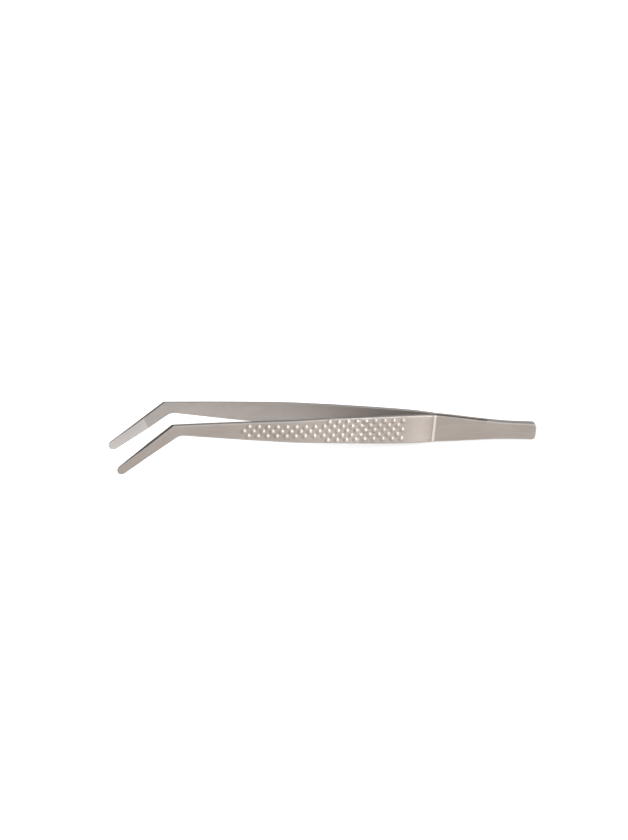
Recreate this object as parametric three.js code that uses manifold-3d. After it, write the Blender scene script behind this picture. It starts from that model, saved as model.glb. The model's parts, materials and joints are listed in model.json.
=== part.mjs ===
// Stamp tongs: two sprung steel blades with bent spade tips, welded together at the heel.
//
// Millimetres. The blades are drawn in a frame of their own: x is 0 at the heel end and negative
// towards the tips, y is the closing direction with the middle plane at 0, and z is the width of
// the blades. The finished tongs are then tilted so that they stand on both tip ends and the
// heel, with +Z up and the origin under the middle of their box.
import * as THREE from "three";
import { mergeVertices } from "three/addons/utils/BufferGeometryUtils.js";
import Module from "manifold-3d";

const wasm = await Module();
wasm.setup();

// Lengths, measured from the heel end unless they say otherwise.
const OVERALL_LENGTH = 120;
const SPACER_LENGTH = 14.6; // the welded stretch
const LEAF_LENGTH = 14.75; // the free spring leaf, from the spacer to the shoulder
const SHOULDER_LENGTH = 0.7; // the step up from leaf to arm
const HEEL_STRAIGHT = 5.5; // the stretch with parallel edges
const TIP_LENGTH = 20; // from the middle of the bend to the tip end, along the tip

// Widths across a blade.
const HEEL_WIDTH = 4.9;
const BLADE_WIDTH = 8.45; // at the widest place
const NECK_WIDTH = 2.75; // at the bend
const TIP_END_WIDTH = 2.6;
const WIDEST_AT = 35.5; // from the heel end
const NARROWING = 1.6; // the power by which the arm narrows from there to the neck

// Thicknesses.
const ARM_THICKNESS = 1.2;
const LEAF_THICKNESS = 0.85;
const SPACER_THICKNESS = 0.7;

// The bend of the tip, in the plane of the blade.
const TIP_BEND = THREE.MathUtils.degToRad(40.6);
const BEND_SET_BACK = 2.25; // how far the inner corner lies behind the outer one
const BEND_FILLET = 1.5; // from the inner corner to each end of its rounding
const HEEL_CORNER = 1.2; // corner radius

// The bow of the arms. Turns are changes of slope.
const TIP_GAP = 17.3; // between the blades at the tip ends, before the pads are ground
const CREASE_SPAN = 1; // just ahead of the shoulder, where the arm leaves the leaf's line
const ELBOW_AHEAD = 41.5; // from the shoulder's foot to the middle of the elbow
const ELBOW_SPAN = 8;
const ELBOW_TURN = 0.1;
const TIP_TURN = 0.05;

// The jaw pads, ground flat so that they meet face to face when the tongs are closed.
const PAD_RUN = 8.8; // along x, back from the tip end
const JAW_CLEARANCE = 0.06; // left between the closed pads

// The raised grip pattern on the outer faces.
const GRIP_AHEAD = 9.95; // from the shoulder's foot to the first stud
const GRIP_TO_BEND = 20.15; // from the last stud to the bend
const GRIP_PITCH = 2.71; // between studs in a row; rows lie half a pitch apart and are staggered
const GRIP_MARGIN = 0.9; // from a stud's middle to the edge of the blade
const STUD_RADIUS = 0.85;
const STUD_HEIGHT = 0.28;
const STUD_ROOT = 0.1; // how deep a stud reaches into the blade

// The spot welds.
const NUGGET_DIAMETER = 3;
const NUGGET_REACH = 0.3; // into each leaf
const NUGGET_PLACES = { rear_weld_nugget: 3.8, front_weld_nugget: 10.2 };

const FIT = 0.02; // between faces that touch
const FLEXURE_GAP = 0.3; // between a leaf and its arm, where the steel bends

// How finely curves are drawn.
const OUTLINE_STEPS = 24; // along each long edge
const CORNER_SEGMENTS = 10; // in each rounded corner
const NUGGET_SIDES = 20;
const STUD_SIDES = 4;
const TILT_ROUNDS = 6; // enough for the standing tilt to settle

const SHOULDER_AT = SPACER_LENGTH + LEAF_LENGTH;
const TIP_END_RADIUS = TIP_END_WIDTH / 2;
const BEND_AT =
  OVERALL_LENGTH - TIP_END_RADIUS + BEND_SET_BACK / 2 -
  (TIP_LENGTH - TIP_END_RADIUS) * Math.cos(TIP_BEND);
const REACH = 60; // half the size of the blocks that the blades are cut from, beyond any part

const STEEL = { color: 0xb4aaa3, metalness: 1, roughness: 0.36 };
const GROUND_STEEL = { color: 0xa8a29d, metalness: 1, roughness: 0.45 };

/** Half the width of the blade at a distance from the heel end, short of the bend. */
function halfWidth(run) {
  if (run <= WIDEST_AT) {
    const share = THREE.MathUtils.smoothstep(run, HEEL_STRAIGHT, WIDEST_AT);
    return THREE.MathUtils.lerp(HEEL_WIDTH, BLADE_WIDTH, share) / 2;
  }
  const share = (run - WIDEST_AT) / (BEND_AT - WIDEST_AT);
  return THREE.MathUtils.lerp(BLADE_WIDTH, NECK_WIDTH, share ** NARROWING) / 2;
}

/** How far a line that turns by one unit of slope over span, about middle, has risen at run. */
function rise(run, middle, span) {
  const past = run - middle;
  if (Math.abs(past) >= span / 2) return Math.max(past, 0);
  return (past + span / 2) ** 2 / (2 * span);
}

const CREASE_AT = SHOULDER_AT + SHOULDER_LENGTH + CREASE_SPAN / 2;
const ELBOW_AT = SHOULDER_AT + ELBOW_AHEAD;
const CREASE_TURN =
  ((TIP_GAP - SPACER_THICKNESS) / 2 + ELBOW_TURN * (OVERALL_LENGTH - ELBOW_AT) +
    TIP_TURN * (OVERALL_LENGTH - BEND_AT)) / (OVERALL_LENGTH - CREASE_AT);

/** The inner face's distance from the middle plane. */
function innerFace(run) {
  return SPACER_THICKNESS / 2 + CREASE_TURN * rise(run, CREASE_AT, CREASE_SPAN) -
    ELBOW_TURN * rise(run, ELBOW_AT, ELBOW_SPAN) - TIP_TURN * rise(run, BEND_AT, CREASE_SPAN);
}

/** The slope of the blade's faces. */
function slope(run) {
  const step = 0.01;
  return (innerFace(run + step) - innerFace(run - step)) / (2 * step);
}

/** The outer face's point beside run, square to the inner face. */
function outerPoint(run, thickness) {
  const angle = Math.atan(slope(run));
  return new THREE.Vector2(
    -run + thickness * Math.sin(angle), innerFace(run) + thickness * Math.cos(angle));
}

// The arms turn about the middle of the leaf's thickness, in the gap before the shoulder.
const PIVOT_AT = SHOULDER_AT - FLEXURE_GAP / 2;
const PIVOT_OUT = SPACER_THICKNESS / 2 + LEAF_THICKNESS / 2;

/** The angle by which each arm turns until its pad is half the jaw clearance from the middle. */
function closingAngle() {
  const ahead = OVERALL_LENGTH - PAD_RUN - PIVOT_AT;
  const out = innerFace(OVERALL_LENGTH - PAD_RUN) - PIVOT_OUT;
  return Math.atan2(out, ahead) +
    Math.asin((PIVOT_OUT - JAW_CLEARANCE / 2) / Math.hypot(out, ahead));
}

/** A geometry as a solid that can be joined and cut. */
function solid(geometry) {
  geometry.deleteAttribute("normal");
  geometry.deleteAttribute("uv");
  const merged = mergeVertices(geometry, 1e-5);
  return new wasm.Manifold(new wasm.Mesh({
    numProp: 3,
    vertProperties: new Float32Array(merged.attributes.position.array),
    triVerts: new Uint32Array(merged.index.array),
  }));
}

/** A solid as a named mesh. */
function piece(name, body, finish) {
  const { vertProperties, triVerts } = body.getMesh();
  const geometry = new THREE.BufferGeometry();
  geometry.setAttribute("position", new THREE.BufferAttribute(vertProperties, 3));
  geometry.setIndex(new THREE.BufferAttribute(triVerts, 1));
  geometry.computeVertexNormals();
  const mesh = new THREE.Mesh(geometry, new THREE.MeshStandardMaterial(finish));
  mesh.name = name;
  return mesh;
}

/** The whole blade seen from the side, as an outline in x and z. */
function bladeOutline() {
  const outer = new THREE.Vector2(-BEND_AT, halfWidth(BEND_AT));
  const innerRun = BEND_AT - BEND_SET_BACK;
  const inner = new THREE.Vector2(-innerRun, -halfWidth(innerRun));
  const ahead = new THREE.Vector2(-Math.cos(TIP_BEND), -Math.sin(TIP_BEND));
  const end = outer.clone().lerp(inner, 0.5)
    .addScaledVector(ahead, TIP_LENGTH - TIP_END_RADIUS);

  const outline = new THREE.Shape();
  outline.moveTo(-HEEL_CORNER, halfWidth(0));
  outline.lineTo(-HEEL_STRAIGHT, halfWidth(HEEL_STRAIGHT));
  for (let i = 1; i <= OUTLINE_STEPS; i += 1) {
    const run = THREE.MathUtils.lerp(HEEL_STRAIGHT, BEND_AT, i / OUTLINE_STEPS);
    outline.lineTo(-run, halfWidth(run));
  }
  outline.absarc(end.x, end.y, TIP_END_RADIUS, Math.PI / 2 + TIP_BEND,
    -Math.PI / 2 + TIP_BEND + 2 * Math.PI, false);
  const fromTip = end.clone().sub(inner).setLength(BEND_FILLET).add(inner);
  const filletRun = innerRun - BEND_FILLET;
  outline.lineTo(fromTip.x, fromTip.y);
  outline.quadraticCurveTo(inner.x, inner.y, -filletRun, -halfWidth(filletRun));
  for (let i = OUTLINE_STEPS - 1; i >= 0; i -= 1) {
    const run = THREE.MathUtils.lerp(HEEL_STRAIGHT, filletRun, i / OUTLINE_STEPS);
    outline.lineTo(-run, -halfWidth(run));
  }
  outline.absarc(-HEEL_CORNER, HEEL_CORNER - halfWidth(0), HEEL_CORNER, -Math.PI / 2, 0, false);
  outline.absarc(-HEEL_CORNER, halfWidth(0) - HEEL_CORNER, HEEL_CORNER, 0, Math.PI / 2, false);
  return outline;
}

const OUTLINE = bladeOutline();

/** A block of the blade's outline that reaches past both arms, to cut a blade's shape with. */
function outlineBlock() {
  const block = new THREE.ExtrudeGeometry(OUTLINE, {
    depth: 2 * REACH, bevelEnabled: false, curveSegments: CORNER_SEGMENTS });
  return solid(block.rotateX(Math.PI / 2).translate(0, REACH, 0));
}

/** An outline in x and y, raised to a block taller than the blade. */
function planBlock(points) {
  const block = new THREE.ExtrudeGeometry(new THREE.Shape(points), {
    depth: 2 * REACH, bevelEnabled: false });
  return solid(block.translate(0, 0, -REACH));
}

/** The runs at which the arm's faces need a point: the stretches that curve and the tip end. */
function armRuns() {
  const curved = (middle, span, steps) =>
    Array.from({ length: steps + 1 }, (_, i) => middle + span * (i / steps - 0.5));
  return [
    ...curved(CREASE_AT, CREASE_SPAN, 3), ...curved(ELBOW_AT, ELBOW_SPAN, 6),
    ...curved(BEND_AT, CREASE_SPAN, 2), OVERALL_LENGTH + 1,
  ];
}

/** A spring leaf with its half of the heel, on side 1 or -1 of the middle plane. */
function springLeaf(side) {
  const inside = side * (SPACER_THICKNESS / 2);
  const outside = side * (SPACER_THICKNESS / 2 + LEAF_THICKNESS);
  const end = SHOULDER_AT - FLEXURE_GAP;
  let leaf = planBlock([
    new THREE.Vector2(1, inside), new THREE.Vector2(1, outside),
    new THREE.Vector2(-end, outside), new THREE.Vector2(-end, inside),
  ]).intersect(outlineBlock());
  for (const place of Object.values(NUGGET_PLACES)) leaf = leaf.subtract(nugget(place, FIT));
  return leaf;
}

/** A spring arm from its shoulder to the tip, on side 1 or -1 of the middle plane. */
function springArm(side) {
  const runs = armRuns();
  const plan = [
    new THREE.Vector2(-SHOULDER_AT, SPACER_THICKNESS / 2),
    ...runs.map((run) => new THREE.Vector2(-run, innerFace(run))),
    ...runs.map((run) => outerPoint(run, ARM_THICKNESS)).reverse(),
    new THREE.Vector2(-SHOULDER_AT, SPACER_THICKNESS / 2 + LEAF_THICKNESS),
  ].map((point) => new THREE.Vector2(point.x, side * point.y));
  return planBlock(plan).intersect(outlineBlock()).add(gripStuds(side)).subtract(padCut(side));
}

/** The material ground off the inside of a tip, down to the plane that closes on the other. */
function padCut(side) {
  const angle = closingAngle();
  const block = new THREE.BoxGeometry(2 * PAD_RUN, REACH, REACH);
  block.translate(0, -REACH / 2, 0).rotateZ(-angle);
  const border = OVERALL_LENGTH - PAD_RUN;
  block.translate(-border - PAD_RUN * Math.cos(angle),
    innerFace(border) + PAD_RUN * Math.sin(angle), 0);
  if (side < 0) block.rotateX(Math.PI);
  return solid(block);
}

/** The rows of low pointed studs on an arm's outer face, joined into one solid. */
function gripStuds(side) {
  const rowGap = GRIP_PITCH / 2;
  const first = SHOULDER_AT + GRIP_AHEAD;
  const last = BEND_AT - GRIP_TO_BEND;
  const rows = Math.floor(BLADE_WIDTH / 2 / rowGap);
  const studs = [];
  for (let row = -rows; row <= rows; row += 1) {
    const stagger = row % 2 === 0 ? 0 : rowGap;
    for (let run = first + stagger; run <= last + 0.01; run += GRIP_PITCH) {
      if (Math.abs(row * rowGap) + GRIP_MARGIN <= halfWidth(run)) {
        studs.push(stud(run, row * rowGap, side));
      }
    }
  }
  return wasm.Manifold.union(studs);
}

/** One stud, a four-sided point set square to the outer face at run and height. */
function stud(run, height, side) {
  const tall = STUD_HEIGHT + STUD_ROOT;
  const root = outerPoint(run, ARM_THICKNESS - STUD_ROOT);
  const cone = new THREE.ConeGeometry(STUD_RADIUS, tall, STUD_SIDES);
  cone.translate(0, tall / 2, 0).rotateZ(-Math.atan(slope(run)));
  cone.translate(root.x, root.y, height);
  if (side < 0) cone.rotateX(Math.PI);
  return solid(cone);
}

/** A weld nugget, or with clearance the hole that it fills, at a place along the heel. */
function nugget(place, clearance = 0) {
  const long = SPACER_THICKNESS + 2 * NUGGET_REACH + 2 * clearance;
  const disc = new THREE.CylinderGeometry(
    NUGGET_DIAMETER / 2 + clearance, NUGGET_DIAMETER / 2 + clearance, long, NUGGET_SIDES);
  return solid(disc.translate(-place, 0, 0));
}

/** The plate that holds the two heels apart. */
function heelSpacer() {
  const half = SPACER_THICKNESS / 2 - FIT;
  let plate = planBlock([
    new THREE.Vector2(1, -half), new THREE.Vector2(1, half),
    new THREE.Vector2(-SPACER_LENGTH, half), new THREE.Vector2(-SPACER_LENGTH, -half),
  ]).intersect(outlineBlock());
  for (const place of Object.values(NUGGET_PLACES)) plate = plate.subtract(nugget(place, FIT));
  return plate;
}

/** The tilt about Y at which the lowest points of the tip end and the heel are level. */
function standingTilt() {
  const points = OUTLINE.extractPoints(CORNER_SEGMENTS).shape;
  const tipPoints = points.filter((point) => point.x < -BEND_AT);
  const heelPoints = points.filter((point) => point.x > -SHOULDER_AT);
  let tilt = 0;
  for (let round = 0; round < TILT_ROUNDS; round += 1) {
    const height = (point) => point.y * Math.cos(tilt) - point.x * Math.sin(tilt);
    const lowest = (group) => group.reduce((a, b) => (height(b) < height(a) ? b : a));
    const [tip, heel] = [lowest(tipPoints), lowest(heelPoints)];
    tilt = Math.atan2(heel.y - tip.y, heel.x - tip.x);
  }
  return tilt;
}

const tongs = new THREE.Group();
for (const [name, side] of [["left", -1], ["right", 1]]) {
  tongs.add(piece(`${name}_arm`, springArm(side), STEEL));
  tongs.add(piece(`${name}_spring_leaf`, springLeaf(side), STEEL));
}
tongs.add(piece("heel_spacer", heelSpacer(), GROUND_STEEL));
for (const [name, place] of Object.entries(NUGGET_PLACES)) {
  tongs.add(piece(name, nugget(place), GROUND_STEEL));
}

tongs.rotation.y = standingTilt();
tongs.updateMatrixWorld(true);
const stance = new THREE.Box3().setFromObject(tongs, true);
const middle = stance.getCenter(new THREE.Vector3());
tongs.position.set(-middle.x, -middle.y, -stance.min.z);

export default tongs;
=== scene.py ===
"""Stamp tongs: two sprung steel blades with bent spade tips, spot welded together at the heel.

Each blade is one continuous strip of satin steel. Behind the shoulder it is ground thin and works
as the spring; ahead of it comes the arm with its studded grip, a bent neck and a ground jaw pad.
Lengths are in millimetres in the blade's own frame: run is the distance from the heel end towards
the tips, across is the width of the blade, and out is the distance from the plane midway between
the blades. They become metres only where a mesh is made.
"""

from __future__ import annotations

import json
import logging
import math
from dataclasses import dataclass
from enum import Enum
from typing import Any, Callable, Sequence

import bmesh
import bpy
from mathutils import Matrix, Vector

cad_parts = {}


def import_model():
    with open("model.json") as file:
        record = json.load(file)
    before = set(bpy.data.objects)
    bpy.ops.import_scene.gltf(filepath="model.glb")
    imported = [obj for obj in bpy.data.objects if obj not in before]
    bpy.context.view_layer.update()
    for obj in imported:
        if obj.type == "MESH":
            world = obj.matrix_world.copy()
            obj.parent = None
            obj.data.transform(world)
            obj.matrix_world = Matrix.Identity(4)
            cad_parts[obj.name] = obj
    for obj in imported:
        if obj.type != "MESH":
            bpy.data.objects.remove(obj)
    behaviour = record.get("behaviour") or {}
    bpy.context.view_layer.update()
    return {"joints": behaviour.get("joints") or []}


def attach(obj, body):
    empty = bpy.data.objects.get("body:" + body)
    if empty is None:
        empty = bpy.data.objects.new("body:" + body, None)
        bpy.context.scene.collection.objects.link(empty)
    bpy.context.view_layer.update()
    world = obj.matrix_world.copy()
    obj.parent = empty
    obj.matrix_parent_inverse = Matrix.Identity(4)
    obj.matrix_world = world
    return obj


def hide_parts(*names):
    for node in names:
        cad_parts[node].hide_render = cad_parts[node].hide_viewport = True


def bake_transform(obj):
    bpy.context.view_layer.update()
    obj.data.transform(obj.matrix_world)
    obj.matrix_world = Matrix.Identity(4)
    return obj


LOG = logging.getLogger("stamp_tongs")
MM = 0.001

Point = tuple[float, float]
Colour = tuple[float, float, float]
Height = Callable[[float, float], float]
Vert = bmesh.types.BMVert
Socket = bpy.types.NodeSocket


class Side(Enum):
    """Which of the two blades: the left one lies towards -Y and the right one towards +Y."""

    LEFT = -1
    RIGHT = 1

    @property
    def label(self) -> str:
        """The blade's name, as the bodies and nodes have it."""
        return self.name.lower()


class Mark(Enum):
    """Values that the blades' meshes carry for their finish and for the painted shade and highlight
    on the studs.
    """

    GRAIN = "grain"
    EDGE = "edge"
    PAD = "pad"
    RELIEF = "relief"
    MATT = "matt"


def lerp(low: float, high: float, share: float) -> float:
    """The value that lies share of the way from low to high."""
    return low + (high - low) * share


def smoothstep(value: float, low: float, high: float) -> float:
    """0 below low, 1 above high, and an even S between them."""
    share = min(1.0, max(0.0, (value - low) / (high - low)))
    return share * share * (3.0 - 2.0 * share)


def spread(low: float, high: float, steps: int) -> list[float]:
    """Evenly spaced values from low to high, both included."""
    return [lerp(low, high, i / steps) for i in range(steps + 1)]


def shaded(colour: Colour, share: float) -> Colour:
    """A colour dimmed to a share of itself."""
    return tuple(share * part for part in colour)


@dataclass(frozen=True)
class BladeFrame:
    """Where the blades' own frame lies in the scene.

    Args:
        heel_end: Middle of the heel's end, in metres.
        along: Unit vector from the tips to the heel.
        out: Unit vector from the middle plane to the right blade.
        across: Unit vector up the width of the blades.
    """

    heel_end: Vector
    along: Vector
    out: Vector
    across: Vector

    @classmethod
    def from_joints(cls, joints: Sequence[dict], pivot_run: float) -> BladeFrame:
        """Finds the frame from the two hinges of the arms.

        Args:
            joints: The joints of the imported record.
            pivot_run: Distance of the hinges from the heel end.

        Returns:
            The blades' frame.
        """
        named = {joint["name"]: joint for joint in joints}
        right = named["right_arm_flex"]
        left = named["left_arm_flex"]
        across = Vector(right["axis"]).normalized()
        out = Vector((0.0, 1.0, 0.0))
        along = out.cross(across).normalized()
        pivots = (Vector(right["pos_m"]) + Vector(left["pos_m"])) / 2
        return cls(pivots + along * pivot_run * MM, along, out, across)

    def place(self, run: float, out: float, across: float) -> Vector:
        """The scene's point, in metres, for a point of the blades' frame."""
        return (self.heel_end - self.along * run * MM + self.out * out * MM
                + self.across * across * MM)


@dataclass(frozen=True)
class BladeShape:
    """The shape of one blade, with the sizes of the solid model."""

    overall_length: float = 120.0
    spacer_length: float = 14.6
    leaf_length: float = 14.75
    shoulder_length: float = 0.7
    heel_straight: float = 5.5
    tip_length: float = 20.0
    heel_width: float = 4.9
    blade_width: float = 8.45
    widest_run: float = 35.5
    neck_width: float = 2.75
    tip_end_width: float = 2.6
    narrowing: float = 1.6
    arm_thickness: float = 1.2
    leaf_thickness: float = 0.85
    spacer_thickness: float = 0.7
    tip_bend: float = math.radians(40.6)
    bend_set_back: float = 2.25
    bend_fillet: float = 1.5
    neck_corner: float = 0.35
    heel_corner: float = 1.2
    tip_gap: float = 17.3
    crease_span: float = 1.0
    elbow_ahead: float = 41.5
    elbow_span: float = 8.0
    elbow_turn: float = 0.1
    tip_turn: float = 0.05
    pad_run: float = 8.8
    pad_relief: float = 0.035
    pad_lead: float = 0.6
    jaw_clearance: float = 0.06
    tip_twist: float = 0.036
    flexure_gap: float = 0.3
    outer_edge: float = 0.42
    inner_edge: float = 0.12
    welded_edge: float = 0.03
    soften: float = 0.07
    swell: float = 0.24
    swell_foot: float = 1.8
    swell_rise: float = 6.8
    swell_fade: Point = (10.0, 44.0)
    twist_span: float = 4.0
    ground_tone: float = 0.3
    ground_fade: Point = (15.0, 37.0)

    @property
    def shoulder_run(self) -> float:
        """Where the leaf ends and the step up to the arm starts."""
        return self.spacer_length + self.leaf_length

    @property
    def pivot_run(self) -> float:
        """Where the arms hinge."""
        return self.shoulder_run - self.flexure_gap / 2

    @property
    def tip_radius(self) -> float:
        """Radius of the rounded tip end."""
        return self.tip_end_width / 2

    @property
    def bend_run(self) -> float:
        """Where the upper edge turns down into the tip."""
        return (self.overall_length - self.tip_radius + self.bend_set_back / 2
                - (self.tip_length - self.tip_radius) * math.cos(self.tip_bend))

    @property
    def crease_run(self) -> float:
        """Middle of the crease where the arm leaves the leaf's line."""
        return self.shoulder_run + self.shoulder_length + self.crease_span / 2

    @property
    def elbow_run(self) -> float:
        """Middle of the elbow where the arms straighten."""
        return self.shoulder_run + self.elbow_ahead

    @property
    def crease_turn(self) -> float:
        """Change of slope at the crease that opens the tips to the tip gap."""
        spread_out = (self.tip_gap - self.spacer_thickness) / 2
        taken_back = (self.elbow_turn * (self.overall_length - self.elbow_run)
                      + self.tip_turn * (self.overall_length - self.bend_run))
        return (spread_out + taken_back) / (self.overall_length - self.crease_run)

    @property
    def pad_start(self) -> float:
        """Where the ground pad starts on the tip's centre line."""
        return self.overall_length - self.pad_run

    def half_width(self, run: float) -> float:
        """Half the width of the blade short of the bend."""
        if run <= self.widest_run:
            share = smoothstep(run, self.heel_straight, self.widest_run)
            return lerp(self.heel_width, self.blade_width, share) / 2
        share = (run - self.widest_run) / (self.bend_run - self.widest_run)
        return lerp(self.blade_width, self.neck_width, share ** self.narrowing) / 2

    def width_slope(self, run: float) -> float:
        """How fast the half width grows with run."""
        step = 0.02
        return (self.half_width(run + step) - self.half_width(run - step)) / (2 * step)

    def grain_across(self, point: Vector) -> float:
        """Distance of a point of -run and across from the centre line, for the grain."""
        top, bottom = (Vector(corner) for corner in self.bend_corners())
        offset = point - (top + bottom) / 2
        mitre = top - bottom
        if mitre.x * offset.y <= mitre.y * offset.x:
            return offset.y
        return offset.y * math.cos(self.tip_bend) - offset.x * math.sin(self.tip_bend)

    def edge_drop(self, run: float, across: float, radius: float) -> float:
        """How far the rounded edge of the arm falls below its face."""
        inside = self.half_width(run) - abs(across)
        if inside >= radius:
            return 0.0
        left = radius - max(inside, 0.0)
        return radius - math.sqrt(radius * radius - left * left)

    @staticmethod
    def rise(run: float, middle: float, span: float) -> float:
        """How far a line that turns by one unit of slope over span has risen at run."""
        past = run - middle
        if abs(past) >= span / 2:
            return max(past, 0.0)
        return (past + span / 2) ** 2 / (2 * span)

    def inner_line(self, run: float) -> float:
        """Distance of the inner face from the middle plane, before the pad is ground."""
        return (self.spacer_thickness / 2
                + self.crease_turn * self.rise(run, self.crease_run, self.crease_span)
                - self.elbow_turn * self.rise(run, self.elbow_run, self.elbow_span)
                - self.tip_turn * self.rise(run, self.bend_run, self.crease_span))

    def slope(self, run: float) -> float:
        """Slope of the blade's faces."""
        step = 0.01
        return (self.inner_line(run + step) - self.inner_line(run - step)) / (2 * step)

    def outer_line(self, run: float) -> float:
        """Distance of the outer face from the middle plane, with a crisp shoulder."""
        low = self.spacer_thickness / 2 + self.leaf_thickness
        ramp_end = self.shoulder_run + self.shoulder_length
        if run <= self.shoulder_run:
            return low
        if run < ramp_end:
            share = (run - self.shoulder_run) / self.shoulder_length
            return lerp(low, self.spacer_thickness / 2 + self.arm_thickness, share)
        source = run
        for _ in range(4):
            source = run + self.arm_thickness * math.sin(math.atan(self.slope(source)))
        return (self.inner_line(source)
                + self.arm_thickness * math.cos(math.atan(self.slope(source))))

    def tip_middle(self, run: float) -> float:
        """Height across of the tip's centre line at run, beyond the bend."""
        top, bottom = self.bend_corners()
        middle_run = -(top[0] + bottom[0]) / 2
        middle_across = (top[1] + bottom[1]) / 2
        return middle_across - math.tan(self.tip_bend) * (run - middle_run)

    def twist(self, run: float, across: float) -> float:
        """How far the slight twist of the tip moves its faces outwards."""
        share = smoothstep(run, self.bend_run, self.bend_run + self.twist_span)
        return share * self.tip_twist * (across - self.tip_middle(run)) if share else 0.0

    def closing_slope(self) -> float:
        """Slope of the pads, which lie in the middle plane when the tongs are closed."""
        pivot_out = (self.spacer_thickness + self.leaf_thickness) / 2
        ahead = self.pad_start - self.pivot_run
        out = self.inner_line(self.pad_start) - pivot_out
        reach = math.hypot(out, ahead)
        angle = math.atan2(out, ahead) + math.asin((pivot_out - self.jaw_clearance / 2) / reach)
        return math.tan(angle)

    def pad_line(self, run: float) -> float:
        """Distance of the ground pad from the middle plane."""
        return (self.inner_line(self.pad_start) + self.pad_relief
                + self.closing_slope() * (run - self.pad_start))

    def inner_face(self, run: float, across: float) -> float:
        """Distance of the finished inner face from the middle plane."""
        plain = self.inner_line(run) + self.twist(run, across)
        if run < self.bend_run:
            return plain
        return max(plain, self.pad_line(run))

    def outer_face(self, run: float, across: float) -> float:
        """Distance of the finished outer face from the middle plane, with its shoulder eased."""
        eased = sum(self.outer_line(run + shift) for shift in (-self.soften, 0.0, self.soften))
        foot = self.shoulder_run + self.swell_foot
        faded = smoothstep(run, *(foot + part for part in self.swell_fade))
        swell = self.swell * smoothstep(run, foot, foot + self.swell_rise) * (1.0 - faded)
        return eased / 3 + swell + self.twist(run, across)

    def ground(self, run: float, across: float) -> float:
        """How far the inner face is ground there: fully on the pad, a little towards the tips."""
        ahead = run + self.pad_lead
        across_ahead = across - self.pad_lead * math.tan(self.tip_bend)
        plain = self.inner_line(ahead) + self.twist(ahead, across_ahead)
        if run > self.bend_run and self.pad_line(ahead) >= plain - 1e-6:
            return 1.0
        start, end = (self.shoulder_run + part for part in self.ground_fade)
        return self.ground_tone * smoothstep(run, start, end)

    def bend_corners(self) -> tuple[Point, Point]:
        """The upper and lower corners of the bend, as points of -run and across."""
        inner_run = self.bend_run - self.bend_set_back
        return ((-self.bend_run, self.half_width(self.bend_run)),
                (-inner_run, -self.half_width(inner_run)))


@dataclass(frozen=True)
class Station:
    """One line across a blade, from its upper edge to its lower one.

    Args:
        top: Upper edge point, as -run and across.
        top_normal: Direction out of the blade there.
        bottom: Lower edge point.
        bottom_normal: Direction out of the blade there.
        along: Distance along the blade's centre line, for the grain.
    """

    top: Vector
    top_normal: Vector
    bottom: Vector
    bottom_normal: Vector
    along: float


@dataclass(frozen=True)
class Outline:
    """A strip's stations, and the arcs or lines that close it at its two ends.

    Args:
        stations: The stations in order.
        first_end: Points and normals from the upper to the lower edge at the first station.
        last_end: The same at the last station.
    """

    stations: list[Station]
    first_end: list[tuple[Vector, Vector]]
    last_end: list[tuple[Vector, Vector]]


COLUMNS = (0.0, 0.035, 0.12, 0.22, 0.35, 0.5, 0.65, 0.78, 0.88, 0.965, 1.0)


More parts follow.
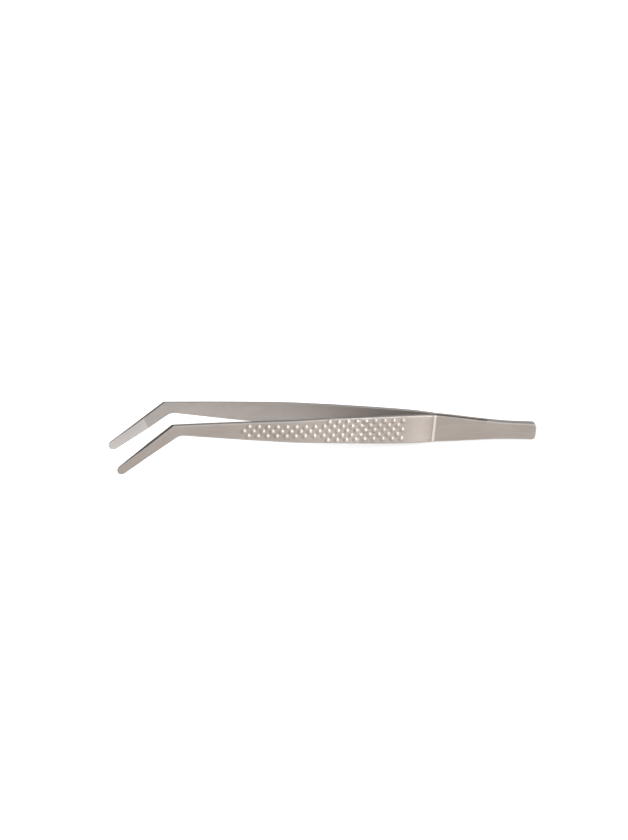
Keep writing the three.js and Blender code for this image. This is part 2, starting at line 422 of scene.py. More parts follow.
@dataclass
class OutlineMaker:
    """Draws the stations of a blade or of a plate that follows its heel."""

    shape: BladeShape
    corner_steps: int = 10
    end_angle: float = math.radians(28.0)
    tip_steps: int = 7
    bend_steps: int = 9
    bend_stretch: Point = (-1.5, 0.7)
    lean_stretch: Point = (-16.0, -3.0)
    border_bow: float = 0.26
    border_span: float = 0.22
    border_steps: Point = (0.006, 0.02)

    def __post_init__(self) -> None:
        """Works out the bend's corners and the tip's own directions and centre."""
        bend = self.shape.tip_bend
        self.top, self.bottom = (Vector(corner) for corner in self.shape.bend_corners())
        self.ahead = Vector((-math.cos(bend), -math.sin(bend)))
        self.normal = Vector((-math.sin(bend), math.cos(bend)))
        self.centre = (self.top + self.bottom) / 2 + self.ahead * (
            self.shape.tip_length - self.shape.tip_radius)

    def heel_stations(self) -> list[Station]:
        """Stations round the heel's two corners."""
        radius = self.shape.heel_corner
        middle = self.shape.heel_width / 2 - radius
        mirror = Vector((1.0, -1.0))
        made = []
        for angle in spread(0.0, math.pi / 2, self.corner_steps):
            normal = Vector((math.cos(angle), math.sin(angle)))
            top = Vector((-radius, middle)) + normal * radius
            made.append(Station(top, normal, top * mirror, normal * mirror, -top.x))
        return made

    def edge_point(self, run: float, sign: int) -> tuple[Vector, Vector]:
        """A point of the upper or lower edge short of the bend, and its normal."""
        normal = Vector((self.shape.width_slope(run), sign)).normalized()
        return Vector((-run, sign * self.shape.half_width(run))), normal

    def edge_station(self, run: float, lean: float) -> Station:
        """A station whose upper end lies lean ahead of its lower end."""
        return Station(*self.edge_point(run + lean / 2, 1), *self.edge_point(run - lean / 2, -1),
                       run)

    def arm_runs(self) -> list[float]:
        """Runs of the stations between the heel and the bend."""
        shape = self.shape
        shoulder, elbow = shape.shoulder_run, shape.elbow_run
        stretches = [
            (shape.heel_corner, shape.heel_straight, 7),
            (shape.heel_straight, shape.spacer_length - 0.1, 8),
            (shape.spacer_length - 0.1, shape.spacer_length + 0.2, 1),
            (shape.spacer_length + 0.2, shoulder - 0.5, 12),
            (shoulder - 0.5, shoulder + 2.3, 28),
            (shoulder + 2.3, elbow - 5.0, 34),
            (elbow - 5.0, elbow + 5.0, 22),
            (elbow + 5.0, shape.bend_run - 3.2, 28),
        ]
        runs: list[float] = []
        for low, high, steps in stretches:
            runs += spread(low, high, steps)[1:]
        return runs

    def lean(self, run: float) -> float:
        """How far a station leans to meet the mitre of the bend."""
        start, end = (self.shape.bend_run + part for part in self.lean_stretch)
        return self.shape.bend_set_back * smoothstep(run, start, end)

    def bend_stations(self) -> list[Station]:
        """Stations round the two corners of the bend."""
        shape = self.shape
        ends = []
        for corner, reach, sign in ((self.top, shape.neck_corner, 1),
                                    (self.bottom, shape.bend_fillet, -1)):
            back, back_normal = self.edge_point(-corner.x - reach, sign)
            ends.append((back, corner, corner + self.ahead * reach, back_normal,
                         self.normal * sign))
        made = []
        for share in spread(0.0, 1.0, self.bend_steps):
            points = []
            for back, corner, front, back_normal, front_normal in ends:
                point = back.lerp(corner, share).lerp(corner.lerp(front, share), share)
                points += [point, back_normal.lerp(front_normal, share).normalized()]
            made.append(Station(*points, shape.bend_run + lerp(*self.bend_stretch, share)))
        return made

    def tip_point(self, angle: float) -> tuple[Vector, Vector]:
        """A point of the tip's rounded end, and its normal."""
        normal = self.ahead * math.cos(angle) + self.normal * math.sin(angle)
        return self.centre + normal * self.shape.tip_radius, normal

    def tip_stations(self) -> list[Station]:
        """Stations from the bend to the tip's rounded end."""
        shape, ahead, normal, centre = self.shape, self.ahead, self.normal, self.centre
        top_start = self.top + ahead * shape.neck_corner
        bottom_start = self.bottom + ahead * shape.bend_fillet
        top_end, bottom_end = centre + normal * shape.tip_radius, centre - normal * shape.tip_radius
        border = self.border_share()
        near, far = self.border_steps
        shares = spread(0.0, border - far, 12)[1:] + [border - near, border, border + near]
        shares += spread(border + far, 1.0, 12)
        start = shape.bend_run + self.bend_stretch[1]
        made = []
        for share in shares:
            bow = math.exp(-(((share - border) / self.border_span) ** 2))
            lean = self.border_bow * bow * (1.0 - share)
            upper = top_start.lerp(top_end, share) - ahead * lean
            lower = bottom_start.lerp(bottom_end, share) + ahead * lean
            made.append(Station(upper, normal, lower, -normal, start + share * shape.tip_length))
        for angle in spread(math.pi / 2, self.end_angle, self.tip_steps)[1:]:
            made.append(Station(*self.tip_point(angle), *self.tip_point(-angle),
                                start + shape.tip_length + shape.tip_radius * math.cos(angle)))
        return made

    def border_share(self) -> float:
        """Where the ground pad starts, as a share of the tip's straight part."""
        shape = self.shape
        start = ((self.top + self.bottom) / 2
                 + self.ahead * (shape.neck_corner + shape.bend_fillet) / 2)
        relief_shift = shape.pad_relief / (shape.closing_slope() - shape.slope(shape.pad_start))
        ahead = shape.pad_start - relief_shift - shape.pad_lead + start.x
        return ahead / (start.x - self.centre.x)

    def blade(self) -> Outline:
        """The outline of a whole blade."""
        arm = [self.edge_station(run, self.lean(run)) for run in self.arm_runs()]
        stations = self.heel_stations() + arm + self.bend_stations() + self.tip_stations()
        last = [self.tip_point(lerp(self.end_angle, -self.end_angle, share)) for share in COLUMNS]
        return Outline(stations, self.straight_end(stations[0], Vector((1.0, 0.0))), last)

    def heel_plate(self, length: float) -> Outline:
        """The outline of a plate that follows the heel up to a square front end."""
        runs = spread(self.shape.heel_corner, self.shape.heel_straight, 4)[1:]
        runs += spread(self.shape.heel_straight, length, 6)[1:]
        stations = self.heel_stations() + [self.edge_station(run, 0.0) for run in runs]
        front = stations[-1]
        forward = Vector((-1.0, 0.0))
        stations[-1] = Station(front.top, front.top_normal + forward, front.bottom,
                               front.bottom_normal + forward, front.along)
        return Outline(stations, self.straight_end(stations[0], Vector((1.0, 0.0))),
                       self.straight_end(stations[-1], forward))

    @staticmethod
    def straight_end(station: Station, normal: Vector) -> list[tuple[Vector, Vector]]:
        """The points that close a strip in a straight line at a station."""
        made = [(station.top.lerp(station.bottom, share), normal.copy()) for share in COLUMNS]
        made[0] = (station.top.copy(), station.top_normal.copy())
        made[-1] = (station.bottom.copy(), station.bottom_normal.copy())
        return made


@dataclass
class StripMesh:
    """A closed strip of sheet steel with rounded edges, lofted from an outline.

    Args:
        outline: The strip's outline.
        outer: Height of the outer face over run and across.
        inner: Height of the inner face.
        outer_edge: Radius of the outer edges at a run and a thickness.
        inner_edge: Radius of the inner edges at a run and a thickness.
        frame: Where the blades' frame lies.
        side: Which side of the middle plane the outer face is on.
        ground: How far the inner face is ground at a run and across.
        grain_across: Distance across the grain of a point.
        matt: How matt the edges are at a run.
        round_steps: Steps round each edge.
        border_wear: How worn the faces are where they meet the edges.
        grain_shift: Offset that gives each blade a grain of its own.
    """

    outline: Outline
    outer: Height
    inner: Height
    outer_edge: Height
    inner_edge: Height
    frame: BladeFrame
    side: Side
    ground: Height = lambda run, across: 0.0
    grain_across: Callable[[Vector], float] = lambda point: point.y
    matt: Callable[[float], float] = lambda run: 1.0
    round_steps: int = 6
    border_wear: float = 0.6
    grain_shift: float = 40.0

    def __post_init__(self) -> None:
        """Starts an empty mesh with the layers that the finish reads."""
        self.mesh = bmesh.new()
        verts = self.mesh.verts.layers
        self.grain = verts.float_vector.new(Mark.GRAIN.value)
        self.marks = {mark: verts.float.new(mark.value) for mark in Mark if mark is not Mark.GRAIN}

    def vertex(self, point: Vector, out: float, along: float, mark: Mark, share: float) -> Vert:
        """Adds a vertex with a mark.

        Args:
            point: Its -run and across.
            out: Its distance from the middle plane.
            along: Its distance along the grain.
            mark: The mark that it carries.
            share: How strongly it carries the mark.

        Returns:
            The new vertex.
        """
        made = self.mesh.verts.new(self.frame.place(-point.x, self.side.value * out, point.y))
        made[self.grain] = Vector((along, self.grain_across(point),
                                   out + self.grain_shift * self.side.value))
        made[self.marks[mark]] = share
        if mark is Mark.EDGE:
            made[self.marks[Mark.MATT]] = share * self.matt(along)
        return made

    def face(self, corners: Sequence[Vert], flip: bool) -> None:
        """Adds a face that looks out of the steel."""
        ordered = list(corners)
        if flip != (self.side is Side.LEFT):
            ordered.reverse()
        self.mesh.faces.new(ordered)

    def join(self, rows: Sequence[Sequence[Vert]], flip: bool) -> None:
        """Fills in between neighbouring rows of vertices."""
        for here, there in zip(rows, rows[1:]):
            for step in range(len(here) - 1):
                self.face((here[step], here[step + 1], there[step + 1], there[step]), flip)

    def edge_size(self, point: Vector, outer: bool) -> float:
        """Radius of the rounded edge beside a point."""
        thickness = self.outer(-point.x, point.y) - self.inner(-point.x, point.y)
        return (self.outer_edge if outer else self.inner_edge)(-point.x, thickness)

    def grid(self, outer: bool) -> list[list[Vert]]:
        """Makes the vertices of one large face, a row for each station."""
        height = self.outer if outer else self.inner
        rows = []
        stations = self.outline.stations
        for index, station in enumerate(stations):
            end = {0: self.outline.first_end, len(stations) - 1: self.outline.last_end}.get(index)
            if end:
                points = [point - normal * self.edge_size(point, outer) for point, normal in end]
            else:
                top = station.top - station.top_normal * self.edge_size(station.top, outer)
                bottom = station.bottom - station.bottom_normal * self.edge_size(
                    station.bottom, outer)
                points = [top.lerp(bottom, share) for share in COLUMNS]
            row = []
            for point in points:
                ground = 0.0 if outer else self.ground(-point.x, point.y)
                row.append(self.vertex(point, height(-point.x, point.y), station.along,
                                       Mark.PAD, ground))
            rows.append(row)
        self.join(rows, flip=not outer)
        return rows

    def rim(self) -> list[tuple[Vector, Vector, float, tuple[int, int]]]:
        """The outline as one loop: point, normal, distance along, and place in the grids."""
        stations = self.outline.stations
        tops = [(s.top, s.top_normal, s.along, (row, 0)) for row, s in enumerate(stations)]
        bottoms = [(s.bottom, s.bottom_normal, s.along, (row, len(COLUMNS) - 1))
                   for row, s in enumerate(stations)]
        first, last = (
            [(point, normal, stations[row].along, (row, column))
             for column, (point, normal) in list(enumerate(end))[1:-1]]
            for end, row in ((self.outline.first_end, 0),
                             (self.outline.last_end, len(stations) - 1)))
        return tops + last + bottoms[::-1] + first[::-1]

    def build(self) -> bmesh.types.BMesh:
        """Makes both faces and the rounded rim that joins them."""
        outer_rows, inner_rows = self.grid(outer=True), self.grid(outer=False)
        profiles = []
        for point, normal, along, (row, column) in self.rim():
            profile = [outer_rows[row][column]]
            for outer, angles in ((True, range(1, self.round_steps + 1)),
                                  (False, range(self.round_steps, 0, -1))):
                radius = self.edge_size(point, outer)
                for step in angles:
                    turn = math.pi / 2 * step / self.round_steps
                    place = point - normal * (radius * (1.0 - math.sin(turn)))
                    face = (self.outer if outer else self.inner)(-place.x, place.y)
                    depth = radius * (1.0 - math.cos(turn))
                    profile.append(self.vertex(place, face - depth if outer else face + depth,
                                               along, Mark.EDGE, 1.0))
            profile.append(inner_rows[row][column])
            profiles.append(profile)
        self.join(profiles + profiles[:1], flip=True)
        for row in outer_rows + inner_rows:
            for vert in (row[0], row[-1]):
                vert[self.marks[Mark.EDGE]] = self.border_wear
        return self.mesh


def to_object(mesh: bmesh.types.BMesh, name: str) -> bpy.types.Object:
    """Turns a finished bmesh into a smooth shaded object in the scene.

    Args:
        mesh: The mesh, which is freed.
        name: Name of the object.

    Returns:
        The new object.
    """
    for face in mesh.faces:
        face.smooth = True
    data = bpy.data.meshes.new(name)
    mesh.to_mesh(data)
    mesh.free()
    made = bpy.data.objects.new(name, data)
    bpy.context.scene.collection.objects.link(made)
    return made


@dataclass
class NodeSheet:
    """A small helper that lays out and links shader nodes."""

    tree: bpy.types.NodeTree
    column: int = 0

    def add(self, kind: str, inputs: dict[str | int, Any] | None = None, **settings: Any) -> Any:
        """Adds a node.

        Args:
            kind: The node's type name.
            inputs: Values or sockets for its inputs, by name or place.
            settings: Properties of the node.

        Returns:
            The new node.
        """
        node = self.tree.nodes.new(kind)
        node.location = (200 * (self.column % 8), -260 * (self.column // 8))
        self.column += 1
        for key, value in settings.items():
            setattr(node, key, value)
        for key, value in (inputs or {}).items():
            if isinstance(value, Socket):
                self.tree.links.new(value, node.inputs[key])
            else:
                node.inputs[key].default_value = value
        return node

    def math(self, operation: str, first: Any, second: Any) -> Socket:
        """The result of a sum on two values or sockets."""
        return self.add("ShaderNodeMath", {0: first, 1: second}, operation=operation).outputs[0]

    def remap(self, value: Any, low: float, high: float, new_low: Any,
              new_high: Any) -> Socket:
        """A value moved from one range to another and held inside it."""
        return self.add("ShaderNodeMapRange", {
            "Value": value, "From Min": low, "From Max": high,
            "To Min": new_low, "To Max": new_high}).outputs[0]

    def blend(self, share: Any, first: Any, second: Any) -> Socket:
        """Two colours mixed."""
        inputs = {place: (*value, 1.0) if isinstance(value, tuple) else value
                  for place, value in ((0, share), (6, first), (7, second))}
        return self.add("ShaderNodeMix", inputs, data_type="RGBA").outputs[2]


class Effect:
    """A surface effect that several finishes share, as a node group that is made once."""

    name: str
    values: tuple[str, ...]
    results: tuple[str, ...]

    def fill(self, sheet: NodeSheet, given: Any) -> Sequence[Socket]:
        """Adds the effect's nodes.

        Args:
            sheet: The group's sheet.
            given: The group's inputs: the place and the effect's values.

        Returns:
            A socket for each result.
        """
        raise NotImplementedError

    def add_to(self, sheet: NodeSheet, **inputs: Any) -> Any:
        """Adds the effect to a material's sheet and returns its outputs."""
        tree = bpy.data.node_groups.get(self.name)
        if tree is None:
            tree = bpy.data.node_groups.new(self.name, "ShaderNodeTree")
            sockets = [("Place", "INPUT", "NodeSocketVector")]
            sockets += [(value, "INPUT", "NodeSocketFloat") for value in self.values]
            sockets += [(result, "OUTPUT", "NodeSocketFloat") for result in self.results]
            for socket, in_out, kind in sockets:
                tree.interface.new_socket(name=socket, in_out=in_out, socket_type=kind)
            inside = NodeSheet(tree)
            made = self.fill(inside, inside.add("NodeGroupInput").outputs)
            inside.add("NodeGroupOutput", dict(zip(self.results, made)))
        return sheet.add("ShaderNodeGroup", inputs, node_tree=tree).outputs


class BrushedGrain(Effect):
    """Fine lines along the steel: a tone and a height, both from 0 to 1."""

    name = "brushed grain"
    values = ("Lines", "Stretch")
    results = ("Tone", "Height")
    layers = ((1.0, 3.0, 3.1), (1.7, 2.0, 11.7))

    def fill(self, sheet: NodeSheet, given: Any) -> Sequence[Socket]:
        """Adds a layer of stretched noise for each result."""
        made = []
        for fineness, detail, seed in self.layers:
            lines = sheet.math("MULTIPLY", given["Lines"], fineness)
            long = sheet.math("DIVIDE", lines, given["Stretch"])
            scale = sheet.add("ShaderNodeCombineXYZ", {0: long, 1: lines, 2: lines}).outputs[0]
            place = sheet.add("ShaderNodeVectorMath", {0: given["Place"], 1: scale},
                              operation="MULTIPLY").outputs[0]
            moved = sheet.add("ShaderNodeVectorMath", {0: place, 1: (seed, seed * 2.0, -seed)},
                              operation="ADD").outputs[0]
            noise = sheet.add("ShaderNodeTexNoise", {
                "Vector": moved, "Scale": 1.0, "Detail": detail, "Roughness": 0.62})
            made.append(sheet.remap(noise.outputs[0], 0.28, 0.72, 0.0, 1.0))
        return made


class HandlingPatches(Effect):
    """Soft uneven patches left by handling and polishing, from 0 to 1."""

    name = "handling patches"
    values = ("Size",)
    results = ("Patch",)

    def fill(self, sheet: NodeSheet, given: Any) -> Sequence[Socket]:
        """Adds soft noise, drawn out along the steel."""
        place = sheet.add("ShaderNodeVectorMath", {0: given["Place"], 1: (0.35, 1.0, 1.0)},
                          operation="MULTIPLY").outputs[0]
        scale = sheet.math("DIVIDE", 1.0, given["Size"])
        noise = sheet.add("ShaderNodeTexNoise", {
            "Vector": place, "Scale": scale, "Detail": 4.0, "Roughness": 0.55, "Distortion": 0.3})
        return (sheet.remap(noise.outputs[0], 0.3, 0.7, 0.0, 1.0),)


class WornEdge(Effect):
    """The broken line of brighter metal along an edge."""

    name = "worn edge"
    values = ("Edge", "Wear")
    results = ("Mask",)

    def fill(self, sheet: NodeSheet, given: Any) -> Sequence[Socket]:
        """Breaks up the edge with noise."""
        noise = sheet.add("ShaderNodeTexNoise", {
            "Vector": given["Place"], "Scale": 1.4, "Detail": 3.0, "Roughness": 0.6})
        broken = sheet.remap(noise.outputs[0], 0.35, 0.6, 0.35, 1.0)
        kept = sheet.math("MULTIPLY", given["Edge"], broken)
        return (sheet.math("MULTIPLY", kept, given["Wear"]),)


@dataclass(frozen=True)
class SteelFinish:
    """A satin steel, brushed along the blade, with brighter edges and pad.

    Args:
        name: Name of the material.
        deep: Colour in the hollows of the brushing.
        bright: Colour on its crests.
        edge: Colour of worn edges, also painted on the studs' crests as a highlight.
        ground: Colour of ground steel.
        roughness: Least and greatest roughness.
        lines: Brush lines to a millimetre.
        stretch: How much longer than wide a line is.
        depth: Depth of the brushing, in millimetres.
        wear: How far the edges are worn.
        anisotropy: How much wider the shine spreads across the brushing than along it.
        matt: Colour of edges that are ground matt.
        matt_metal: How metallic those edges are.
        patch_size: Size of the handling patches, in millimetres.
        root_shade: How far the colour dims at the foot of the studs, as painted shade.
        ground_shade: How far it dims in the hollows of ground steel.
    """

    name: str
    deep: Colour
    bright: Colour
    edge: Colour
    ground: Colour
    roughness: tuple[float, float]
    lines: float
    stretch: float
    depth: float
    wear: float
    anisotropy: float
    matt: Colour = (0.4, 0.375, 0.355)
    matt_metal: float = 0.4
    patch_size: float = 3.5
    root_shade: float = 0.62
    ground_shade: float = 0.93

    def material(self) -> bpy.types.Material:
        """Builds the material, or finds it if it is there already."""
        if self.name in bpy.data.materials:
            return bpy.data.materials[self.name]
        made = bpy.data.materials.new(self.name)
        made.use_nodes = True
        made.node_tree.nodes.clear()
        sheet = NodeSheet(made.node_tree)
        place = sheet.add("ShaderNodeAttribute", attribute_name=Mark.GRAIN.value).outputs["Vector"]
        marks = {mark: sheet.add("ShaderNodeAttribute", attribute_name=mark.value).outputs["Fac"]
                 for mark in Mark if mark is not Mark.GRAIN}
        grain = BrushedGrain().add_to(
            sheet, Place=place, Lines=self.lines, Stretch=self.stretch)
        patches = HandlingPatches().add_to(sheet, Place=place, Size=self.patch_size)
        worn = WornEdge().add_to(sheet, Place=place, Edge=marks[Mark.EDGE], Wear=self.wear)

        grain_part = sheet.math("MULTIPLY", grain["Tone"], 0.6)
        patch_part = sheet.math("MULTIPLY", patches["Patch"], 0.4)
        tone = sheet.math("ADD", grain_part, patch_part)
        colour = sheet.blend(tone, self.deep, self.bright)
        # Painted shade: the colour darkens towards the foot of each stud, where its flanks meet the
        # face.
        painted_shade = sheet.remap(marks[Mark.RELIEF], -1.0, 0.0, 0.6, 0.0)
        # Painted highlight: the crests of the studs take the worn edge colour.
        painted_highlight = sheet.remap(marks[Mark.RELIEF], 0.5, 1.0, 0.0, 0.7)
        colour = sheet.blend(painted_shade, colour, shaded(self.deep, self.root_shade))
        colour = sheet.blend(painted_highlight, colour, self.edge)
        colour = sheet.blend(worn["Mask"], colour, self.edge)
        ground = sheet.blend(tone, shaded(self.ground, self.ground_shade), self.ground)
        colour = sheet.blend(marks[Mark.PAD], colour, ground)
        colour = sheet.blend(marks[Mark.MATT], colour, self.matt)
        rough = sheet.remap(tone, 0.0, 1.0, self.roughness[1], self.roughness[0])
        metal = sheet.remap(marks[Mark.MATT], 0.0, 1.0, 1.0, self.matt_metal)
        bump = sheet.add("ShaderNodeBump", {
            "Height": grain["Height"], "Distance": self.depth * MM, "Strength": 1.0})
        shader = sheet.add("ShaderNodeBsdfPrincipled", {
            "Base Color": colour, "Roughness": rough, "Metallic": metal,
            "Anisotropic": self.anisotropy, "Anisotropic Rotation": 0.25,
            "Normal": bump.outputs[0]})
        sheet.add("ShaderNodeOutputMaterial", {"Surface": shader.outputs[0]})
        return made


BLADE_STEEL = SteelFinish(
    name="satin blade steel", deep=(0.315, 0.277, 0.25), bright=(0.385, 0.342, 0.312),
    edge=(0.43, 0.395, 0.37), ground=(0.56, 0.53, 0.51), roughness=(0.4, 0.5),
    lines=5.0, stretch=30.0, depth=0.003, wear=0.5, anisotropy=0.85)
SPACER_STEEL = SteelFinish(
    name="ground spacer steel", deep=(0.36, 0.335, 0.315), bright=(0.44, 0.415, 0.395),
    edge=(0.36, 0.345, 0.33), ground=(0.42, 0.4, 0.39), roughness=(0.42, 0.55),
    lines=7.0, stretch=12.0, depth=0.003, wear=0.3, anisotropy=0.3)


@dataclass
class GripPattern:
    """Rows of low pointed studs that stand on an arm's outer face."""

    shape: BladeShape
    ahead_of_shoulder: float = 9.95
    behind_bend: float = 20.15
    pitch: float = 2.71
    margin: float = 0.9
    radius: float = 0.85
    height: float = 0.28
    sides: int = 24
    profile: tuple[tuple[float, float, float], ...] = (
        (1.03, -0.06, 1.7), (1.0, 0.0, 1.7), (0.9, 0.07, 1.7), (0.76, 0.23, 1.7),
        (0.58, 0.47, 1.75), (0.4, 0.71, 1.8), (0.26, 0.86, 1.9), (0.14, 0.95, 2.0),
        (0.06, 0.99, 2.0))

    def places(self) -> list[Point]:
        """The run and across of each stud."""
        row_gap = self.pitch / 2
        first = self.shape.shoulder_run + self.ahead_of_shoulder
        last = self.shape.bend_run - self.behind_bend
        rows = int(self.shape.blade_width / 2 / row_gap)
        made = []
        for row in range(-rows, rows + 1):
            run = first + (row_gap if row % 2 else 0.0)
            while run <= last + 0.01:
                if abs(row * row_gap) + self.margin <= self.shape.half_width(run):
                    made.append((run, row * row_gap))
                run += self.pitch
        return made

    def add_to(self, strip: StripMesh) -> int:
        """Adds every stud to a blade's mesh and returns how many there are."""
        places = self.places()
        for run, across in places:
            self.stud(strip, run, across)
        return len(places)

    def stud(self, strip: StripMesh, run: float, across: float) -> None:
        """Adds one stud, four flanks with eased ridges that follow the bowed face."""
        rings = []
        for reach, rise, squareness in self.profile:
            ring = []
            for side in range(self.sides):
                angle = 2 * math.pi * side / self.sides
                size = (abs(math.cos(angle)) ** squareness
                        + abs(math.sin(angle)) ** squareness) ** (-1 / squareness)
                at_run = run + math.cos(angle) * size * reach * self.radius
                at_across = across + math.sin(angle) * size * reach * self.radius
                ring.append(self.raised(strip, at_run, at_across, rise))
            rings.append(ring + ring[:1])
        strip.join(rings, flip=True)
        tip = self.raised(strip, run, across, 1.0)
        for here, after in zip(rings[-1], rings[-1][1:]):
            strip.face((here, after, tip), flip=True)

    def raised(self, strip: StripMesh, run: float, across: float,
               share: float) -> Vert:
        """A vertex that stands a share of the studs' height above the outer face."""
        angle = math.atan(self.shape.slope(run))
        up = share * self.height
        point = Vector((-run + up * math.sin(angle), across))
        # The foot ring carries -1, where the finish paints shade; the upper rings carry the painted
        # highlight on the crests.
        relief = share if share > 0.02 else -1.0
        foot = (self.shape.outer_face(run, across)
                - self.shape.edge_drop(run, across, self.shape.outer_edge))
        return strip.vertex(point, foot + up * math.cos(angle), run, Mark.RELIEF, relief)


@dataclass
class SprungBlade:
    """One blade of the tongs: heel, spring leaf, studded arm, bent tip and ground pad."""

    side: Side
    shape: BladeShape
    frame: BladeFrame
    finish: SteelFinish = BLADE_STEEL
    flex_from: float = 17.2
    flex_to: float = 41.2
    outer_share: float = 0.42
    inner_share: float = 0.3
    arm_matt: float = 0.75

    def outer_radius(self, run: float, thickness: float) -> float:
        """Radius of the outer edges, less where the steel is thin."""
        return min(self.shape.outer_edge, self.outer_share * thickness)

    def inner_radius(self, run: float, thickness: float) -> float:
        """Radius of the inner edges, nearly sharp where the heel is welded."""
        share = smoothstep(run, self.shape.spacer_length - 1.0, self.shape.spacer_length + 3.0)
        size = lerp(self.shape.welded_edge, self.shape.inner_edge, share)
        return min(size, self.inner_share * thickness)

    def matt_edge(self, run: float) -> float:
        """How matt the edges are: fully at the heel, partly along the arm, else not at all."""
        if run <= self.shape.spacer_length:
            return 1.0
        on_arm = self.shape.shoulder_run < run < self.shape.bend_run - 1.0
        return self.arm_matt if on_arm else 0.0

    def build(self) -> bpy.types.Object:
        """Makes the blade and hides the arm and spring leaf of the model in its place.

        Returns:
            The blade.
        """
        strip = StripMesh(
            OutlineMaker(self.shape).blade(), self.shape.outer_face, self.shape.inner_face,
            self.outer_radius, self.inner_radius, self.frame, self.side, self.shape.ground,
            self.shape.grain_across, self.matt_edge)
        strip.build()
        studs = GripPattern(self.shape).add_to(strip)
        blade = to_object(strip.mesh, f"{self.side.label}_blade")
        blade.data.materials.append(self.finish.material())
        arm = f"{self.side.label}_arm"
        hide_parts(arm, f"{self.side.label}_spring_leaf")
        pivot_out = self.side.value * (self.shape.spacer_thickness + self.shape.leaf_thickness) / 2
        self.frame.place(self.flex_from, pivot_out, 0.0)
        self.frame.place(self.flex_to, pivot_out, 0.0)
        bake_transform(blade)
        LOG.info("%s: %d faces, %d studs", blade.name, len(blade.data.polygons), studs)
        return blade


@dataclass
class WeldedHeel:
    """What joins the blades: the spacer plate and two spot welds."""

    shape: BladeShape
    frame: BladeFrame
    finish: SteelFinish = SPACER_STEEL
    fit: float = 0.02
    weld_places: tuple[tuple[str, float], ...] = (("rear_weld", 3.8), ("front_weld", 10.2))
    weld_radius: float = 1.5
    weld_sides: int = 32
    weld_rings: int = 10
    edge: float = 0.04

    def build(self) -> list[bpy.types.Object]:
        """Makes the plate and the welds and lets them ride on the heel."""
        made = [self.plate()]
        made += [self.weld(name, run) for name, run in self.weld_places]
        for piece in made:
            piece.data.materials.append(self.finish.material())
            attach(piece, "heel")
            LOG.info("%s: %d faces", piece.name, len(piece.data.polygons))
        return made

    def plate(self) -> bpy.types.Object:
        """The plate between the two heels, flush with their edges."""
        half = self.shape.spacer_thickness / 2 - self.fit
        strip = StripMesh(
            OutlineMaker(self.shape).heel_plate(self.shape.spacer_length),
            lambda run, across: half, lambda run, across: -half,
            lambda run, thickness: self.edge, lambda run, thickness: self.edge,
            self.frame, Side.RIGHT)
        plate = to_object(strip.build(), "heel_spacer_plate")
        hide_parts("heel_spacer")
        return plate

    def weld(self, name: str, run: float) -> bpy.types.Object:
        """A spot weld: a lens of fused metal inside the heel.

        Args:
            name: Name of the piece.
            run: Its distance from the heel end.

        Returns:
            The weld.
        """
        mesh = bmesh.new()
        grain = mesh.verts.layers.float_vector.new(Mark.GRAIN.value)
        half = self.shape.spacer_thickness / 2 - self.fit / 2
        bmesh.ops.create_uvsphere(mesh, u_segments=self.weld_sides, v_segments=self.weld_rings,
                                  radius=1.0)
        for vert in mesh.verts:
            at_run, across = run + self.weld_radius * vert.co.x, self.weld_radius * vert.co.y
            out = half * vert.co.z
            vert[grain] = Vector((at_run, across, out))
            vert.co = self.frame.place(at_run, out, across)
        bmesh.ops.recalc_face_normals(mesh, faces=mesh.faces)
        weld = to_object(mesh, f"{name}_lens")
        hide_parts(f"{name}_nugget")
        return weld


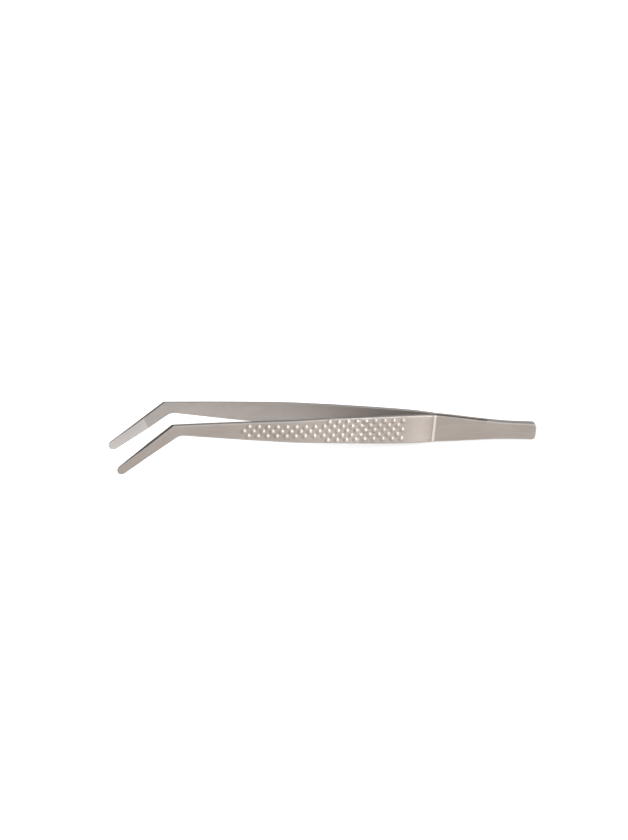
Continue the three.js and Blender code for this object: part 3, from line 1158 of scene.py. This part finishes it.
@dataclass
class Studio:
    """The pale floor, the soft light and the camera."""

    shape: BladeShape
    frame: BladeFrame
    azimuth: float = math.radians(-9.263)
    elevation: float = math.radians(21.159)
    roll: float = math.radians(0.212)
    distance: float = 1359.9
    shift_right: float = -3.909
    shift_up: float = 0.979
    lens: float = 207.19
    floor_radius: float = 4.0
    floor_colour: Colour = (0.82, 0.82, 0.82)
    floor_lift: float = 0.68

    def build(self) -> None:
        """Makes the camera, the floor, the lamps and the world."""
        self.camera()
        self.floor()
        self.lamp("key softbox", (0.91, -0.62, 0.36), 0.9, 13.0)
        self.lamp("front softbox", (-0.12, -1.05, 0.7), 0.7, 3.2)
        self.world()

    def camera(self) -> None:
        """Places the camera and makes it the scene's."""
        back = Vector((math.sin(self.azimuth) * math.cos(self.elevation),
                       -math.cos(self.azimuth) * math.cos(self.elevation),
                       math.sin(self.elevation)))
        right = Vector((0.0, 0.0, 1.0)).cross(back).normalized()
        up = back.cross(right)
        middle = self.frame.place(self.shape.overall_length / 2, 0.0, 0.0)
        aim = middle + right * self.shift_right * MM + up * self.shift_up * MM
        data = bpy.data.cameras.new("camera")
        data.lens = self.lens
        data.sensor_width = 36.0
        data.clip_start = 0.05
        data.clip_end = 30.0
        camera = bpy.data.objects.new("camera", data)
        rolled = Matrix.Rotation(self.roll, 4, back)
        turn = rolled @ Matrix((right, up, back)).transposed().to_4x4()
        camera.matrix_world = Matrix.Translation(aim + back * self.distance * MM) @ turn
        bpy.context.scene.collection.objects.link(camera)
        bpy.context.scene.camera = camera

    def floor(self) -> None:
        """A large pale disc that shows white and keeps the shadow of the tongs."""
        mesh = bmesh.new()
        bmesh.ops.create_circle(mesh, cap_ends=True, segments=96, radius=self.floor_radius)
        floor = to_object(mesh, "floor")
        made = bpy.data.materials.new("pale floor")
        made.use_nodes = True
        made.node_tree.nodes.clear()
        sheet = NodeSheet(made.node_tree)
        rays = sheet.add("ShaderNodeLightPath").outputs
        seen = sheet.math("MAXIMUM", rays["Is Camera Ray"],
                          sheet.math("MAXIMUM", rays["Is Glossy Ray"], rays["Is Transmission Ray"]))
        grain = sheet.add("ShaderNodeTexNoise", {"Scale": 40.0, "Detail": 2.0})
        tone = sheet.blend(grain.outputs[0], shaded(self.floor_colour, 0.99), self.floor_colour)
        matt = sheet.add("ShaderNodeBsdfDiffuse", {"Color": tone})
        lift = sheet.add("ShaderNodeEmission", {
            "Color": (1.0, 1.0, 1.0, 1.0),
            "Strength": sheet.math("MULTIPLY", seen, self.floor_lift)})
        both = sheet.add("ShaderNodeAddShader", {0: matt.outputs[0], 1: lift.outputs[0]})
        sheet.add("ShaderNodeOutputMaterial", {"Surface": both.outputs[0]})
        floor.data.materials.append(made)

    def lamp(self, name: str, place: tuple[float, float, float], size: float,
             power: float) -> None:
        """Adds a square softbox that looks at the tongs.

        Args:
            name: Name of the lamp.
            place: Where it hangs, in metres.
            size: Length of its sides, in metres.
            power: Its power in watts.
        """
        data = bpy.data.lights.new(name, "AREA")
        data.shape = "SQUARE"
        data.size = size
        data.energy = power
        lamp = bpy.data.objects.new(name, data)
        lamp.location = place
        lamp.rotation_mode = "QUATERNION"
        lamp.rotation_quaternion = Vector(place).to_track_quat("Z", "Y")
        bpy.context.scene.collection.objects.link(lamp)

    def world(self) -> None:
        """A soft grey room, brightest in front on the heel's side and dim behind and above."""
        world = bpy.data.worlds.new("soft room")
        bpy.context.scene.world = world
        world.use_nodes = True
        world.node_tree.nodes.clear()
        sheet = NodeSheet(world.node_tree)
        place = sheet.add("ShaderNodeTexCoord").outputs["Generated"]
        split = sheet.add("ShaderNodeSeparateXYZ", {0: place})
        dim = sheet.remap(split.outputs[0], -0.45, 0.02, 0.12, 1.0)
        bright = sheet.remap(split.outputs[0], 0.1, 0.85, 1.0, 2.6)
        front = sheet.remap(split.outputs[1], -0.35, 0.7, 1.0, 0.25)
        above = sheet.remap(split.outputs[2], 0.45, 0.95, 1.0, 0.5)
        level = sheet.math("MULTIPLY", dim, bright)
        shade = sheet.math("MULTIPLY", front, above)
        strength = sheet.math("MULTIPLY", level, shade)
        shader = sheet.add("ShaderNodeBackground", {"Strength": strength})
        sheet.add("ShaderNodeOutputWorld", {"Surface": shader.outputs[0]})


def main() -> None:
    """Builds the tongs and the studio round them."""
    logging.basicConfig(level=logging.INFO, format="%(name)s: %(message)s")
    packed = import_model()
    shape = BladeShape()
    frame = BladeFrame.from_joints(packed["joints"], shape.pivot_run)
    Studio(shape, frame).build()
    for side in Side:
        SprungBlade(side, shape, frame).build()
    WeldedHeel(shape, frame).build()
    bpy.context.scene.view_settings.view_transform = "Standard"


if __name__ == "__main__":
    main()
